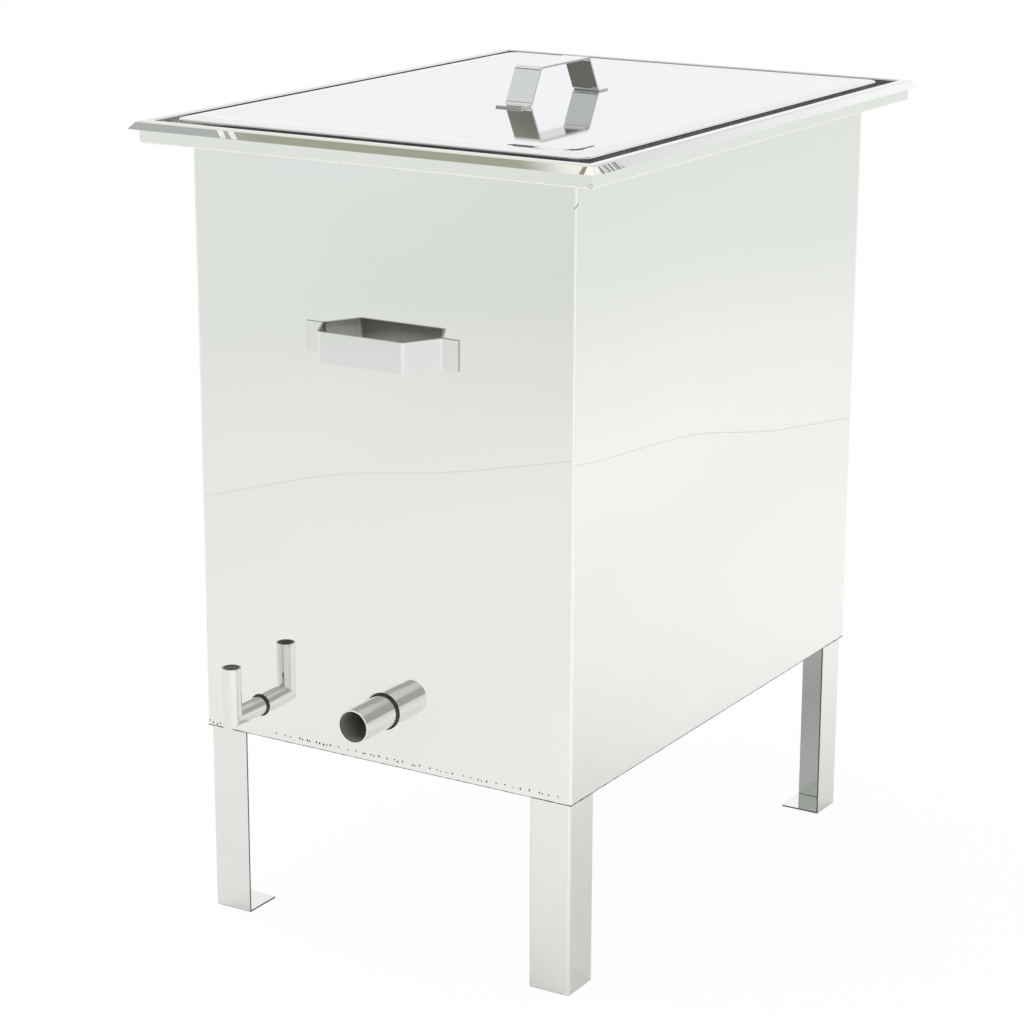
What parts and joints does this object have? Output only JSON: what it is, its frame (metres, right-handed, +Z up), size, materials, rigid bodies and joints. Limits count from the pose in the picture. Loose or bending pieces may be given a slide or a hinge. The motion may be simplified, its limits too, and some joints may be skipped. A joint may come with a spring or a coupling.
{
  "type": "steam wax melter",
  "caption": "Polished steel tank on legs with a guttered rim, drop-in lid, strap handles, wax outlet and water filler, that steams wax out of old combs held in a lift-out basket.",
  "frame": {"origin": "on the ground, under the middle of the whole object", "axes": "+X to the right along the front, +Y to the back, +Z up"},
  "size_m": [0.4834, 0.6576, 0.8005],
  "materials": {
    "mirror_sheet": "mirror polished stainless sheet",
    "rim_sheet": "mirror polished stainless strip with ground mitres",
    "lid_sheet": "mirror polished stainless sheet",
    "leg_sheet": "polished folded stainless sheet",
    "strap": "polished stainless strap",
    "tube": "polished stainless tube",
    "inner_sheet": "plain mill finish stainless sheet"
  },
  "bodies": {
    "tank": {"front_wall": "mirror_sheet", "rear_wall": "mirror_sheet", "left_wall": "mirror_sheet", "right_wall": "mirror_sheet", "floor_pan": "inner_sheet", "front_gutter": "rim_sheet", "rear_gutter": "rim_sheet", "left_gutter": "rim_sheet", "right_gutter": "rim_sheet", "front_rim": "rim_sheet", "rear_rim": "rim_sheet", "left_rim": "rim_sheet", "right_rim": "rim_sheet", "front_left_leg": "leg_sheet", "front_right_leg": "leg_sheet", "rear_left_leg": "leg_sheet", "rear_right_leg": "leg_sheet", "front_handle": "strap", "rear_handle": "strap", "wax_outlet_pipe": "tube", "filler_pipe": "tube", "filler_riser": "tube", "wax_tray": "inner_sheet", "tray_brackets": "inner_sheet", "basket_clips": "inner_sheet"},
    "basket": {"basket_bottom": "inner_sheet", "basket_hoop": "inner_sheet", "basket_front_lift": "inner_sheet", "basket_rear_lift": "inner_sheet", "basket_front": "inner_sheet", "basket_rear": "inner_sheet", "basket_left": "inner_sheet", "basket_right": "inner_sheet"},
    "lid": {"lid_pan": "lid_sheet", "lid_handle": "strap"}
  },
  "joints": [
    {"name": "basket_lift", "type": "slide", "parent": "tank", "child": "basket", "axis": [0, 0, 1], "range_m": [0, 0.47]},
    {"name": "lid_lift", "type": "slide", "parent": "basket", "child": "lid", "axis": [0, 0, 1], "range_m": [0, 0.3]}
  ]
}
